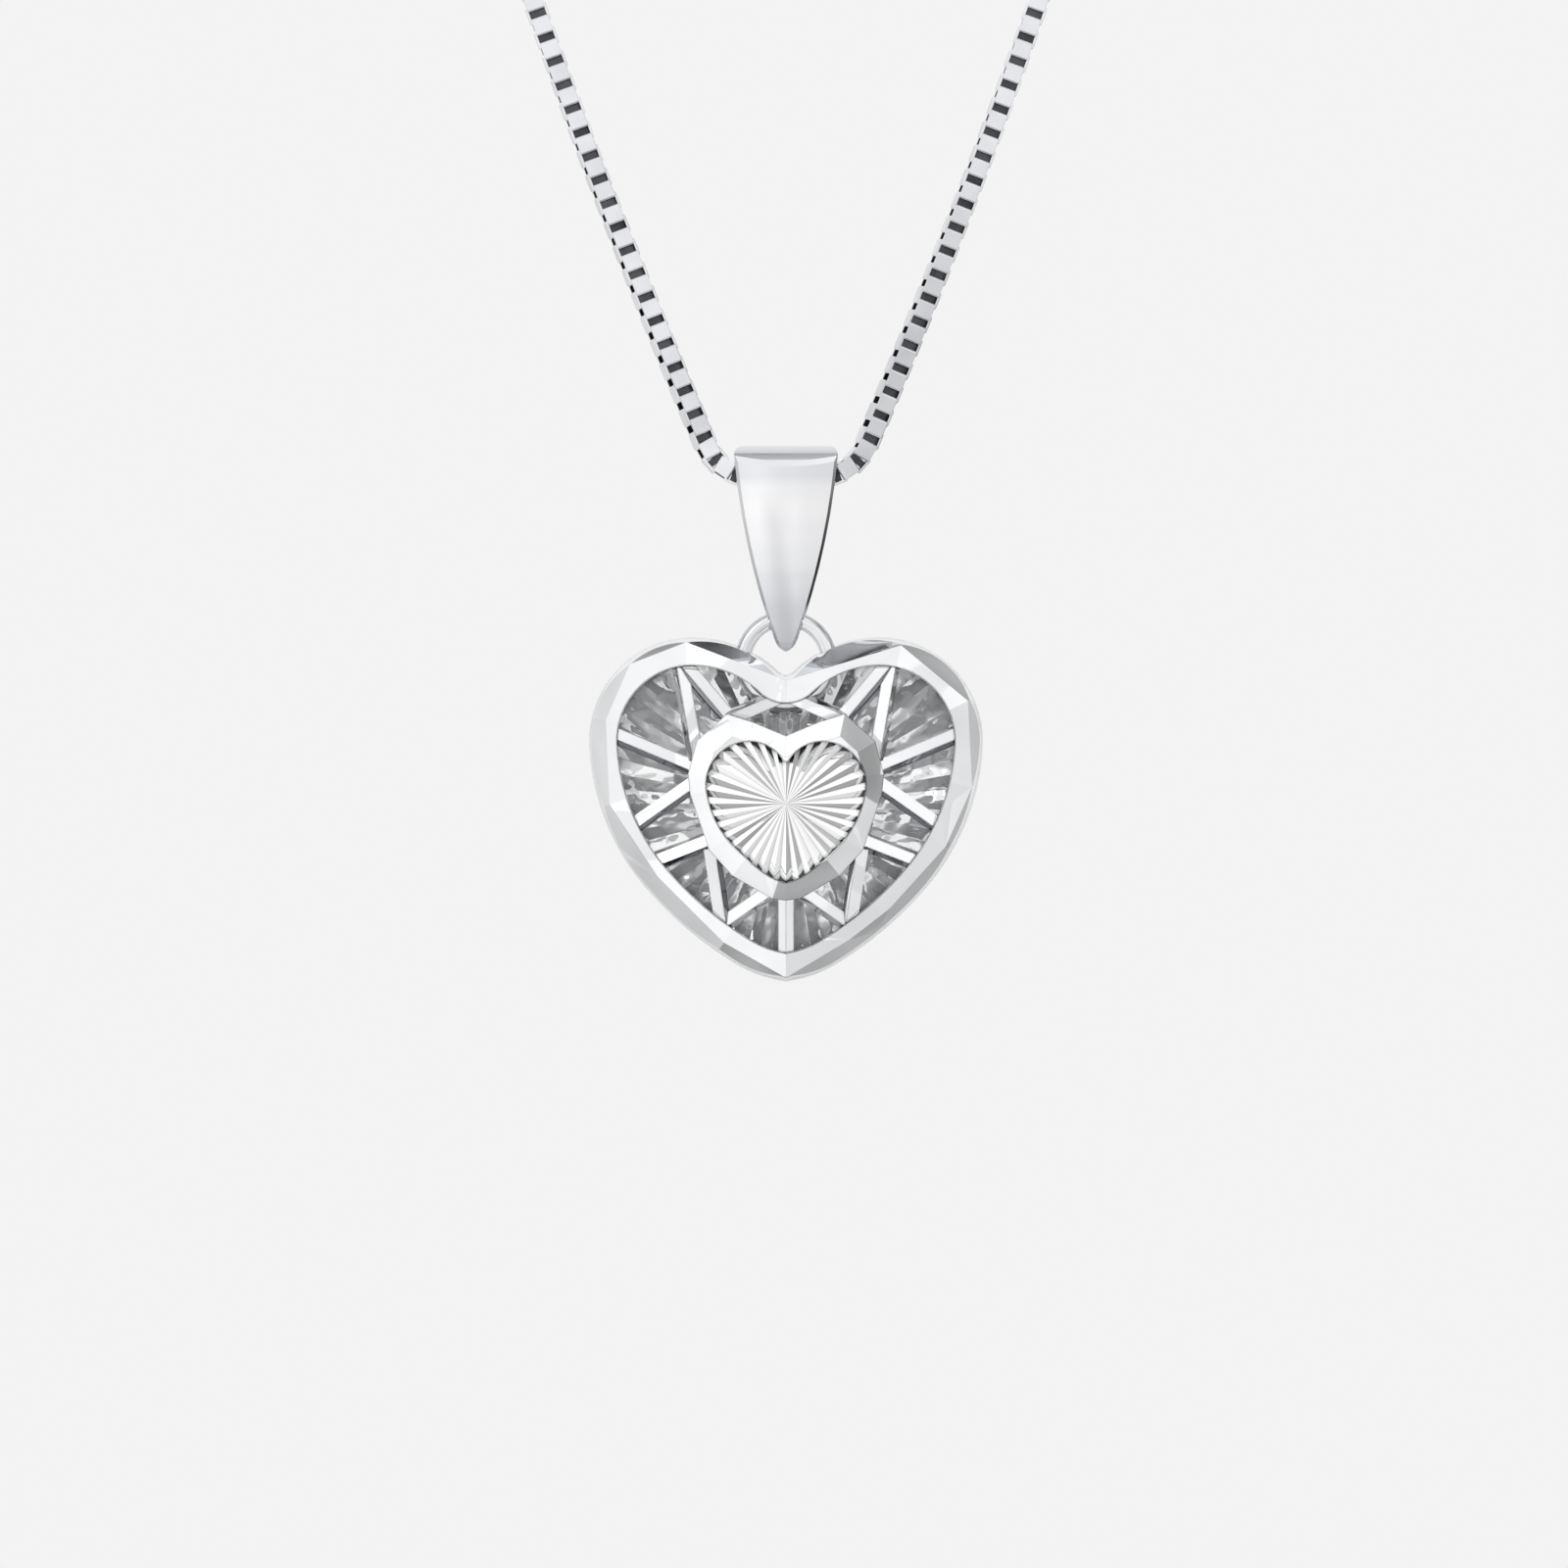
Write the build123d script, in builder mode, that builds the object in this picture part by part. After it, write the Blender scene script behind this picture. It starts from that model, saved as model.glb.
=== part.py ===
"""Openwork heart pendant with a faceted rim, hung by a ring and a bail on a box chain.

The frame is +Z up and the front faces -Y. The origin is the middle of the chain's run
through the bail, which is the axis that the bail swings on.
"""
from build123d import *
from math import asin, atan, cos, degrees, pi, radians, sin, sqrt, tan
import os

os.makedirs("parts", exist_ok=True)

FRONT = Vector(0, -1, 0)

# ---------------------------------------------------------------- driving sizes (mm)

# Heart, seen from the front and measured from the centre of its rays. In a pair, the
# first figure is a share of the half width and the second is a height.
heart_half_width = 6.53
heart_lobe = (0.475, 5.52)      # top of the right lobe
heart_flank = (0.721, -2.73)    # points that the lower side passes through
heart_lower = (0.254, -5.33)
cleft_height = 4.27
cleft_radius = 0.30
widest_height = 1.95
tip_depth = 5.90

# Rim of the front
rim_width = 0.95
rim_height = 1.50           # stock before the facets are cut
rim_draft = 9.0
ridge_height = 1.14         # where the side facets meet the front facets
side_facet_angle = 52.0
front_facet_angle = 13.0

# Struts of the openwork
strut_width = 0.54
strut_ridge = 0.11          # ridge off the middle, on the side nearer the cleft
strut_steep = 0.17          # fall from the ridge to the near shoulder
strut_gentle = 0.12         # fall from the ridge to the far shoulder
strut_depth = 0.56
strut_rim_height = 1.17
strut_hub_height = 1.42
strut_bury = 0.24           # how far each end runs into the rim or the hub

# Hub and bezel round the heart-shaped eye
hub_back = 0.98
hub_front = 1.50
bezel_rim_height = 1.74
bezel_top = 2.14
bezel_facet_angle = 31.0
eye_half_width = 2.62
eye_lobe = (0.466, 2.05)
eye_flank = (0.672, -1.36)
eye_lower = (0.275, -2.28)
eye_cleft_height = 1.38
eye_cleft_radius = 0.12
eye_widest_height = 0.45
eye_tip_depth = 2.60

# Ray plate in the eye, and the fluted reflector behind the openwork
flute_count = 36
plate_thickness = 0.32
plate_lap = 0.16            # how far the plate runs under the bezel
plate_fit = 0.02
plate_valley_slope = 0.070
plate_ridge_slope = 0.018
reflector_apex = 0.34       # behind the girdle
reflector_valley_slope = 0.085
reflector_ridge_slope = 0.035
reflector_fit = 0.03

# Back
back_depth = 1.50
back_draft = 28.0
back_floor = 0.40
back_wall_inset = 0.85

# Ring between the heart and the bail
ring_radius = 1.43
ring_wire = 0.54
ring_clearance = 0.06
ring_above_cleft = 0.44     # ring centre over the bottom of the cleft

# Bail
bail_bore = 0.60
bail_wall = 0.46
bail_ring_drop = 4.66       # from the chain's axis to the wire of the ring
bail_tip_radius = 0.64
bail_length = 5.76          # from the chain's axis to the tip
bail_top_half_width = 1.72
bail_mid_half_width = 1.24
bail_tip_half_width = 0.36
bail_corner = 0.30
bail_face_inset = 0.14      # how far each face is cut back from the rounded top
bail_crown_radius = 11.0
bail_edge = 0.10            # bevel round each face

# Box chain
link_length = 0.618
link_across = 0.78
link_strip = 0.50
link_wall = 0.09
link_corner = 0.10
link_gap = 0.012
links_per_strand = 46
straight_run = 2.4          # links from the middle one to the start of the bend
link_turn = 12.0            # most that one link turns from the next
strand_angle = 66.5
strand_lift = 0.10          # how much steeper each link stands than the last
strand_twist = 18.0
run_links = 4               # links on each side of the middle one that lie in the bail

# Rings at the chain's ends
wire_sides = 10             # sides of the finest round wires' section
end_ring_radius = 0.74
end_ring_wire = 0.24
end_ring_clearance = 0.07

# Spring-ring clasp
clasp_radius = 2.00
clasp_tube = 1.00
clasp_bore = 0.72
tube_sides = 16
clasp_eye_radius = 0.55
clasp_eye_wire = 0.30
clasp_eye_clearance = 0.03
mouth_start = -20.0         # angles run round the clasp from its far side
mouth_end = 42.0
bolt_clearance = 0.03
bolt_tip_angle = -28.0
bolt_tail_angle = 115.0
bolt_travel = 70.0
knob_angle = 78.0
knob_neck = 0.26
knob_neck_length = 0.42
knob_head = 0.62
knob_head_length = 0.30
slot_clearance = 0.04
spring_coils = 15
spring_wire = 0.10
spring_end_angle = 318.0
spring_stop = 8.0           # angle filled behind the spring

# ---------------------------------------------------------------- derived places

ring_centre = Vector(0, 0, -bail_ring_drop - ring_radius)
heart_centre = Vector(0, 0, ring_centre.Z - ring_above_cleft - cleft_height)
heart_plane = Plane(origin=heart_centre, x_dir=(1, 0, 0), z_dir=FRONT)


def spread(pairs, half_width):
    """Points whose first figure is a share of a half width."""
    return [(share * half_width, height) for share, height in pairs]


def heart_outline(half_width, lobe, cleft_y, cleft_radius, widest_y, flank, lower, tip_y):
    """Closed heart face: tangent arcs down one side, then mirrored."""
    lobe, flank, lower = spread([lobe, flank, lower], half_width)
    lobe_x, lobe_y = lobe
    swing = 2 * atan((lobe_y - cleft_y) / lobe_x)
    shoulder = (cleft_radius * sin(swing), cleft_y + cleft_radius * (1 - cos(swing)))
    with BuildSketch() as face:
        with BuildLine():
            cleft = TangentArc((0, cleft_y), shoulder, tangent=(1, 0))
            TangentArc(shoulder, lobe, tangent=cleft % 1)
            crown = TangentArc(lobe, (half_width, widest_y), tangent=(1, 0))
            upper = TangentArc((half_width, widest_y), flank, tangent=crown % 1)
            side = TangentArc(flank, lower, tangent=upper % 1)
            TangentArc(lower, (0, -tip_y), tangent=side % 1)
            mirror(about=Plane.YZ)
        make_face()
    return face.sketch


def grown(face, amount):
    """The same face, offset outward, or inward where the amount is negative."""
    with BuildSketch() as changed:
        add(face)
        offset(amount=amount, mode=Mode.REPLACE)
    return changed.sketch


outer_heart = heart_outline(heart_half_width, heart_lobe, cleft_height, cleft_radius,
                            widest_height, heart_flank, heart_lower, tip_depth)
eye_heart = heart_outline(eye_half_width, eye_lobe, eye_cleft_height, eye_cleft_radius,
                          eye_widest_height, eye_flank, eye_lower, eye_tip_depth)


def place(x, y, height):
    """Point at (x, y) in the heart's face, at a height in front of its girdle."""
    return heart_plane.from_local_coords(Vector(x, y, height))


def facet_plane(start, end, height, angle):
    """Plane through an edge of a half outline that falls away outward by an angle."""
    along = (Vector(*end) - Vector(*start)).normalized()
    outward = Vector(-along.Y, 0, along.X)
    normal = outward * sin(radians(angle)) + FRONT * cos(radians(angle))
    return Plane(origin=place(*start, height), z_dir=normal)


def ring_path(clearance):
    """Solid swept by the hanging ring's wire, with a clearance all round."""
    with BuildPart() as swept:
        with Locations(Location(ring_centre, (90, 0, 0))):
            Torus(ring_radius, ring_wire / 2 + clearance)
    return swept.part


def save(builder, name):
    builder.part.label = name
    export_step(builder.part, f"parts/{name}.step")
    print(f"{name}: {builder.part.volume:.3f} mm3, {len(builder.part.solids())} solid(s)")


# ---------------------------------------------------------------- front of the heart

# Corners of the ridge between side facets and front facets. The two sides are cut
# by hand, so they differ. Each list runs from the cleft to the tip.
ridge_right = spread([(0.046, 4.16), (0.582, 5.24), (0.922, 3.40), (0.943, 0.55),
                      (0.809, -1.42), (0.524, -3.48), (0.322, -4.50), (0, -5.76)],
                     heart_half_width)
ridge_left = spread([(0.046, 4.20), (0.505, 5.34), (0.790, 4.62), (0.913, 2.76),
                     (0.894, -0.02), (0.649, -2.42), (0.314, -4.60), (0, -5.76)],
                    heart_half_width)

# Corners of the bezel's outline on one side, from its notch to its tip
bezel_half = spread([(0, 2.24), (0.420, 2.70), (0.744, 2.97), (1.126, 2.07),
                     (1.237, 0.97), (1.210, 0.30), (0.973, -1.53), (0.679, -2.38),
                     (0.172, -3.15), (0, -3.20)], eye_half_width)

with BuildSketch() as bezel_outline:
    with BuildLine():
        Polyline(*bezel_half)
        mirror(about=Plane.YZ)
    make_face()

# Struts on one side, from the cleft down to the tip: where each leaves the rim, and
# where it meets the hub
strut_rim_ends = spread([(0.046, 3.52), (0.511, 4.55), (0.539, 4.58), (0.845, 2.20),
                         (0.744, -0.62), (0.643, -1.92), (0.322, -3.85), (0.299, -3.92),
                         (0, -5.02)], heart_half_width)
strut_hub_ends = spread([(0.656, 2.90), (0.756, 2.94), (1.153, 1.72), (1.198, 1.20),
                         (1.191, 0.60), (1.000, -1.30), (0.924, -1.72), (0.252, -3.02),
                         (0, -3.16)], eye_half_width)


def strut(rim_point, hub_point):
    """Bar with a roof-shaped section, from the rim up to the hub."""
    low = place(*rim_point, strut_rim_height)
    high = place(*hub_point, strut_hub_height)
    along = (high - low).normalized()
    start = low - along * strut_bury
    across = FRONT.cross(along).normalized()
    half = strut_width / 2
    with BuildPart() as bar:
        with BuildSketch(Plane(origin=start, x_dir=across, z_dir=along)):
            Polygon((-half, -strut_depth), (half, -strut_depth), (half, -strut_steep),
                    (strut_ridge, 0), (-half, -strut_gentle), align=None)
        extrude(amount=(high - low).length + 2 * strut_bury)
    return bar.part


with BuildPart() as openwork:
    with BuildSketch(heart_plane.offset(hub_back)):
        add(bezel_outline.sketch)
    extrude(amount=hub_front - hub_back)
    for rim_point, hub_point in zip(strut_rim_ends, strut_hub_ends):
        add(strut(rim_point, hub_point))
    with BuildSketch(heart_plane.offset(hub_back)):
        add(grown(eye_heart, -plate_lap))
    extrude(amount=hub_front - hub_back, mode=Mode.SUBTRACT)
    with BuildSketch(heart_plane.offset(hub_front)):
        add(bezel_outline.sketch)
    extrude(amount=rim_height, mode=Mode.SUBTRACT)
    split(bisect_by=Plane.YZ, keep=Keep.TOP)


def cage_half(ridge):
    """Right half of the front: one side and one front facet per edge of the ridge."""
    with BuildPart() as half:
        with BuildSketch(heart_plane):
            add(outer_heart)
        with BuildSketch(heart_plane.offset(rim_height)):
            add(grown(outer_heart, -rim_height * tan(radians(rim_draft))))
        loft(ruled=True)
        split(bisect_by=Plane.YZ, keep=Keep.TOP)
        for start, end in zip(ridge, ridge[1:]):
            side_cut = facet_plane(start, end, ridge_height, side_facet_angle)
            split(bisect_by=side_cut, keep=Keep.BOTTOM)
            front_cut = facet_plane(start, end, ridge_height, front_facet_angle)
            split(bisect_by=front_cut, keep=Keep.BOTTOM)
        with BuildSketch(heart_plane):
            add(grown(outer_heart, -rim_width))
        extrude(amount=rim_height, mode=Mode.SUBTRACT)
        add(openwork.part)
    return half.part


with BuildPart() as front_cage:
    add(cage_half(ridge_right))
    add(mirror(cage_half(ridge_left), about=Plane.YZ, mode=Mode.PRIVATE))
    add(ring_path(ring_clearance), mode=Mode.SUBTRACT)
save(front_cage, "front_cage")

with BuildPart() as inner_bezel:
    with BuildSketch(heart_plane.offset(hub_front)):
        add(bezel_outline.sketch)
    extrude(amount=bezel_top - hub_front)
    split(bisect_by=Plane.YZ, keep=Keep.TOP)
    for start, end in zip(bezel_half, bezel_half[1:]):
        cut = facet_plane(start, end, bezel_rim_height, bezel_facet_angle)
        split(bisect_by=cut, keep=Keep.BOTTOM)
    mirror(about=Plane.YZ)
    with BuildSketch(heart_plane.offset(hub_front)):
        add(eye_heart)
    extrude(amount=bezel_top - hub_front, mode=Mode.SUBTRACT)
    with BuildSketch(heart_plane.offset(hub_front)):
        add(grown(eye_heart, plate_lap + plate_fit))
    extrude(amount=plate_thickness + plate_fit, mode=Mode.SUBTRACT)
save(inner_bezel, "inner_bezel")


# ---------------------------------------------------------------- rays and flutes

def flute_cutter(apex, reach, valley_slope, ridge_slope):
    """Wedge for one V-shaped ray, from a point out to a reach along the heart's +X."""
    half_pitch = reach * tan(pi / flute_count)
    # wider than one pitch, so that neighbours meet in a ridge and the top stays open
    width = 1.25 * valley_slope / (valley_slope - ridge_slope)
    rise = width * (valley_slope - ridge_slope) * reach
    section = Plane(origin=apex + Vector(reach, 0, 0), x_dir=(0, 0, -1), z_dir=(1, 0, 0))
    near = 0.002            # share of the section left at the centre
    with BuildPart() as cutter:
        for plane, size in ((section, 1), (section.offset(-reach * (1 - near)), near)):
            floor = valley_slope * reach * size
            side = width * half_pitch * size
            with BuildSketch(plane):
                Polygon((0, floor), (side, floor - rise * size), (-side, floor - rise * size),
                        align=None)
        loft(ruled=True)
    return cutter.part


def flute_ring(cutter, apex):
    """Every place of a cutter round the apex, about the axis that faces forward."""
    return [
        cutter.rotate(Axis(apex, (0, 1, 0)), 360 / flute_count * (turn + 0.5))
        for turn in range(flute_count)
    ]


plate_front = hub_front + plate_thickness
with BuildPart() as sunburst_plate:
    with BuildSketch(heart_plane.offset(hub_front)):
        add(grown(eye_heart, plate_lap))
    extrude(amount=plate_thickness)
    ray_apex = place(0, 0, plate_front)
    ray = flute_cutter(ray_apex, 2 * eye_half_width, plate_valley_slope, plate_ridge_slope)
    add(flute_ring(ray, ray_apex), mode=Mode.SUBTRACT)
save(sunburst_plate, "sunburst_plate")

with BuildPart() as fluted_reflector:
    with BuildSketch(heart_plane.offset(-reflector_apex)):
        add(grown(outer_heart, -back_wall_inset - reflector_fit))
    extrude(amount=-(back_depth - back_floor - reflector_apex))
    flute_apex = place(0, 0, -reflector_apex)
    flute = flute_cutter(flute_apex, 1.2 * heart_half_width,
                         reflector_valley_slope, reflector_ridge_slope)
    add(flute_ring(flute, flute_apex), mode=Mode.SUBTRACT)
save(fluted_reflector, "fluted_reflector")

with BuildPart() as back_shell:
    with BuildSketch(heart_plane):
        add(outer_heart)
    with BuildSketch(heart_plane.offset(-back_depth)):
        add(grown(outer_heart, -back_depth * tan(radians(back_draft))))
    loft(ruled=True)
    with BuildSketch(heart_plane):
        add(grown(outer_heart, -back_wall_inset))
    extrude(amount=-(back_depth - back_floor), mode=Mode.SUBTRACT)
    add(ring_path(ring_clearance), mode=Mode.SUBTRACT)
save(back_shell, "back_shell")


# ---------------------------------------------------------------- ring and bail

with BuildPart() as hanging_ring:
    with Locations(Location(ring_centre, (90, 0, 0))):
        Torus(ring_radius, ring_wire / 2)
save(hanging_ring, "hanging_ring")

bail_outer = bail_bore + bail_wall
bail_tip_drop = bail_length - bail_tip_radius
leaf_angle = degrees(asin((bail_outer - bail_tip_radius) / bail_tip_drop))
bail_stock = 2 * bail_top_half_width
bail_reach = 3 * bail_length

# The seat that the ring rocks in: the ring's bore, turned about the wire's axis
ring_bore = ring_radius - ring_wire / 2 - ring_clearance
seat_half = bail_mid_half_width / 2
seat_edge = ring_centre.Z + sqrt(ring_bore ** 2 - seat_half ** 2)

with BuildPart() as bail:
    with BuildSketch(Plane.YZ):
        Circle(bail_outer)
        with Locations((0, -bail_tip_drop)):
            Circle(bail_tip_radius)
        make_hull()
    extrude(amount=bail_stock, both=True)
    with BuildSketch(Plane.XZ):
        with BuildLine():
            top = bail_outer
            shoulder_z = top - bail_corner
            Line((0, top), (bail_top_half_width - bail_corner, top))
            TangentArc((bail_top_half_width - bail_corner, top),
                       (bail_top_half_width, shoulder_z), tangent=(1, 0))
            flank_end = (bail_tip_half_width, -bail_length + bail_tip_half_width)
            edge = ThreePointArc((bail_top_half_width, shoulder_z),
                                 (bail_mid_half_width, -bail_length * 0.41), flank_end)
            TangentArc(flank_end, (0, -bail_length), tangent=edge % 1)
            mirror(about=Plane.YZ)
        make_face()
    extrude(amount=bail_reach, both=True, mode=Mode.INTERSECT)
    for facing in (-1, 1):
        leaf = Vector(0, facing * cos(radians(leaf_angle)), -sin(radians(leaf_angle)))
        down = Vector(0, -facing * sin(radians(leaf_angle)), -cos(radians(leaf_angle)))
        crown_axis = leaf * (bail_outer - bail_face_inset - bail_crown_radius)
        with BuildSketch(Plane(origin=crown_axis - down * bail_length, z_dir=down)):
            Circle(bail_crown_radius)
        extrude(amount=bail_reach, mode=Mode.INTERSECT)
    crowned = faces().sort_by(SortBy.AREA)[-2:]
    chamfer([edge for face in crowned for edge in face.edges()], length=bail_edge)
    with BuildSketch(Plane.YZ):
        Circle(bail_bore)
        with Locations((0, -bail_ring_drop)):
            Circle(ring_wire / 2 + ring_clearance)
        make_hull()
    extrude(amount=bail_stock, both=True, mode=Mode.SUBTRACT)
    with BuildSketch(Plane.XZ):
        with BuildLine():
            Line((-seat_half, -bail_ring_drop), (seat_half, -bail_ring_drop))
            Line((seat_half, -bail_ring_drop), (seat_half, seat_edge))
            ThreePointArc((seat_half, seat_edge), (0, ring_centre.Z + ring_bore),
                          (-seat_half, seat_edge))
            Line((-seat_half, seat_edge), (-seat_half, -bail_ring_drop))
        make_face()
    revolve(axis=Axis((0, 0, -bail_ring_drop), (1, 0, 0)), mode=Mode.SUBTRACT)
save(bail, "bail")


# ---------------------------------------------------------------- box chain

link_pitch = link_length - 2 * link_wall - link_gap


def link_angle(index):
    """Slope of a link, counted from the middle of the chain's run."""
    bend = link_turn * max(0, index - straight_run)
    rest = strand_angle + strand_lift * max(0, index - run_links)
    return min(bend, rest)


def link_twist(index):
    """Turn of a link about the chain's own line: most just above the bail."""
    start = run_links
    full = start + 5
    if index <= start:
        return 0.0
    if index <= full:
        return strand_twist * (index - start) / (full - start)
    return strand_twist * (links_per_strand - index) / (links_per_strand - full)


def strand_stations():
    """Centre, slope and twist of each link from the middle outward, on one side."""
    stations = [(0.0, 0.0, 0.0, 0.0)]
    x, z = 0.0, 0.0
    for index in range(1, links_per_strand + 1):
        before, after = link_angle(index - 1), link_angle(index)
        rock = link_strip / 2 * sin(radians(after - before))
        for angle in (before, after):
            x += (link_pitch - rock) / 2 * cos(radians(angle))
            z += (link_pitch - rock) / 2 * sin(radians(angle))
        stations.append((x, z, after, link_twist(index)))
    return stations


stations = strand_stations()


def box_link():
    """One link: a strip bent into a box, its hole along Y and the chain along X."""
    with BuildPart() as link:
        with BuildSketch(Plane.XZ):
            outer = Rectangle(link_length, link_across)
            chamfer(outer.vertices(), length=link_corner)
            Rectangle(link_length - 2 * link_wall, link_across - 2 * link_wall,
                      mode=Mode.SUBTRACT)
        extrude(amount=link_strip / 2, both=True)
    return link.part


link_shape = box_link()


def placed_link(index):
    """Link at a signed place along the chain; every other one is turned a quarter."""
    side = 1 if index >= 0 else -1
    x, z, slope, twist = stations[abs(index)]
    quarter = 90 if index % 2 else 0
    pose = (Location((side * x, 0, z)) * Location((0, 0, 0), (0, -side * slope, 0))
            * Location((0, 0, 0), (quarter + side * twist, 0, 0)))
    return link_shape.moved(pose)


chain_groups = {
    "chain_run_in_bail": range(-run_links, run_links + 1),
    "chain_right_edge_links": range(run_links + 2, links_per_strand + 1, 2),
    "chain_right_face_links": range(run_links + 1, links_per_strand + 1, 2),
    "chain_left_edge_links": range(-run_links - 2, -links_per_strand - 1, -2),
    "chain_left_face_links": range(-run_links - 1, -links_per_strand - 1, -2),
}
for name, places in chain_groups.items():
    with BuildPart() as links:
        add([placed_link(index) for index in places])
    save(links, name)


# ---------------------------------------------------------------- rings at the chain's ends

def strand_end(side):
    """Last link's centre, and the chain's direction there, on one side."""
    x, z, slope, _ = stations[-1]
    along = Vector(side * cos(radians(slope)), 0, sin(radians(slope)))
    return Vector(side * x, 0, z), along


last_bar = link_length / 2 - link_wall
end_ring_rise = last_bar - end_ring_clearance - end_ring_wire / 2 + end_ring_radius

for side, name in ((-1, "end_ring_left"), (1, "end_ring_right")):
    centre, along = strand_end(side)
    across = along.cross(Vector(0, 1, 0))
    with BuildPart() as end_ring:
        spot = Plane(origin=centre + along * end_ring_rise, x_dir=along, z_dir=across)
        with BuildSketch(Plane(origin=spot.origin, x_dir=along, z_dir=spot.y_dir)):
            with Locations((end_ring_radius, 0)):
                RegularPolygon(end_ring_wire / 2, wire_sides)
        revolve(axis=Axis(spot.origin, across))
    save(end_ring, name)


# ---------------------------------------------------------------- spring-ring clasp

chain_end, clasp_dir = strand_end(-1)
clasp_outer = clasp_radius + clasp_tube / 2
eye_centre_rise = (end_ring_rise + end_ring_radius - end_ring_wire / 2
                   - clasp_eye_clearance - clasp_eye_wire + clasp_eye_radius
                   + clasp_eye_wire / 2)
clasp_rise = eye_centre_rise + clasp_eye_radius + clasp_outer - clasp_eye_wire / 2
clasp_centre = chain_end + clasp_dir * clasp_rise
clasp_axis = Axis(clasp_centre, FRONT)


def clasp_plane(angle):
    """Section plane of the clasp at an angle from its far side; X points outward."""
    turn = radians(angle)
    aside = FRONT.cross(clasp_dir)
    radial = clasp_dir * cos(turn) + aside * sin(turn)
    return Plane(origin=clasp_centre, x_dir=radial, z_dir=FRONT.cross(radial))


bolt_radius = clasp_bore / 2 - bolt_clearance
neck_half_angle = degrees(asin((knob_neck / 2 + slot_clearance) / clasp_outer))

with BuildPart() as clasp_tube_ring:
    with BuildSketch(clasp_plane(mouth_end)):
        with Locations((clasp_radius, 0)):
            RegularPolygon(clasp_tube / 2, tube_sides)
            RegularPolygon(clasp_bore / 2, tube_sides, mode=Mode.SUBTRACT)
    revolve(axis=clasp_axis, revolution_arc=360 - mouth_end + mouth_start)
    with BuildSketch(clasp_plane(spring_end_angle)):
        with Locations((clasp_radius, 0)):
            Circle((clasp_bore + clasp_tube) / 4)
    revolve(axis=clasp_axis, revolution_arc=spring_stop)
    with BuildSketch(clasp_plane(knob_angle - neck_half_angle)):
        with Locations((clasp_outer, 0)):
            Rectangle(clasp_tube, knob_neck + 2 * slot_clearance)
    revolve(axis=clasp_axis, revolution_arc=bolt_travel + 2 * neck_half_angle,
            mode=Mode.SUBTRACT)
save(clasp_tube_ring, "clasp_tube_ring")

with BuildPart() as clasp_bolt:
    with BuildSketch(clasp_plane(bolt_tip_angle)):
        with Locations((clasp_radius, 0)):
            Circle(bolt_radius)
    revolve(axis=clasp_axis, revolution_arc=bolt_tail_angle - bolt_tip_angle)
save(clasp_bolt, "clasp_bolt")

with BuildPart() as clasp_thumb_knob:
    spot = clasp_plane(knob_angle)
    radial = spot.x_dir
    with BuildSketch(Plane(origin=clasp_centre + radial * clasp_radius, z_dir=radial)):
        Circle(knob_neck / 2)
    extrude(amount=clasp_tube / 2 + knob_neck_length)
    head_foot = clasp_outer + knob_neck_length - knob_head_length
    with BuildSketch(Plane(origin=clasp_centre + radial * head_foot, z_dir=radial)):
        Circle(knob_head / 2)
    extrude(amount=knob_head_length)
    chamfer(edges().filter_by(GeomType.CIRCLE).sort_by(Axis(clasp_centre, radial))[-1],
            length=knob_head_length / 3)
    add(clasp_bolt.part, mode=Mode.SUBTRACT)
save(clasp_thumb_knob, "clasp_thumb_knob")

with BuildPart() as clasp_spring:
    coil_step = (spring_end_angle - bolt_tail_angle) / spring_coils
    coil_radius = bolt_radius - spring_wire / 2
    for coil in range(spring_coils):
        with BuildSketch(clasp_plane(bolt_tail_angle + coil_step * (coil + 0.5))):
            with Locations((clasp_radius, 0)):
                RegularPolygon(coil_radius + spring_wire / 2, wire_sides)
                RegularPolygon(coil_radius - spring_wire / 2, wire_sides, mode=Mode.SUBTRACT)
    extrude(amount=spring_wire / 2, both=True)
save(clasp_spring, "clasp_spring")

with BuildPart() as clasp_eye:
    eye_centre = chain_end + clasp_dir * eye_centre_rise
    with BuildSketch(Plane(origin=eye_centre, x_dir=(1, 0, 0), z_dir=(0, 0, 1))):
        with Locations((clasp_eye_radius, 0)):
            RegularPolygon(clasp_eye_wire / 2, wire_sides, rotation=180 / wire_sides)
    revolve(axis=Axis(eye_centre, FRONT))
    with BuildSketch(clasp_plane(0)):
        with Locations((clasp_radius, 0)):
            RegularPolygon(clasp_tube / 2, tube_sides)
    revolve(axis=clasp_axis, mode=Mode.SUBTRACT)
save(clasp_eye, "clasp_eye")
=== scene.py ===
import math

import bpy
from mathutils import Matrix, Vector


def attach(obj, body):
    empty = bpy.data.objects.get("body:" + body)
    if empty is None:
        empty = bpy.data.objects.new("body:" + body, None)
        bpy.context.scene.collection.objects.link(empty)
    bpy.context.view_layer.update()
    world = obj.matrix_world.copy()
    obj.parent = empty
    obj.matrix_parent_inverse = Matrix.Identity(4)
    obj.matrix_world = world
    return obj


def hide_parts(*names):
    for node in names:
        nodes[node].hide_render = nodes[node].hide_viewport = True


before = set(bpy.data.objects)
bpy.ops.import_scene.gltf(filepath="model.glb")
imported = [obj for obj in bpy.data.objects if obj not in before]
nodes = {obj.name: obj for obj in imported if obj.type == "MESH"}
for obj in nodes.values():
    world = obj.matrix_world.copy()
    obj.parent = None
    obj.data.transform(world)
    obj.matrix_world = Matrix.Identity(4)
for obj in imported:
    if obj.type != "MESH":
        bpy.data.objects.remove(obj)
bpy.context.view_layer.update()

scene = bpy.context.scene
mm = 0.001


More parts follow.
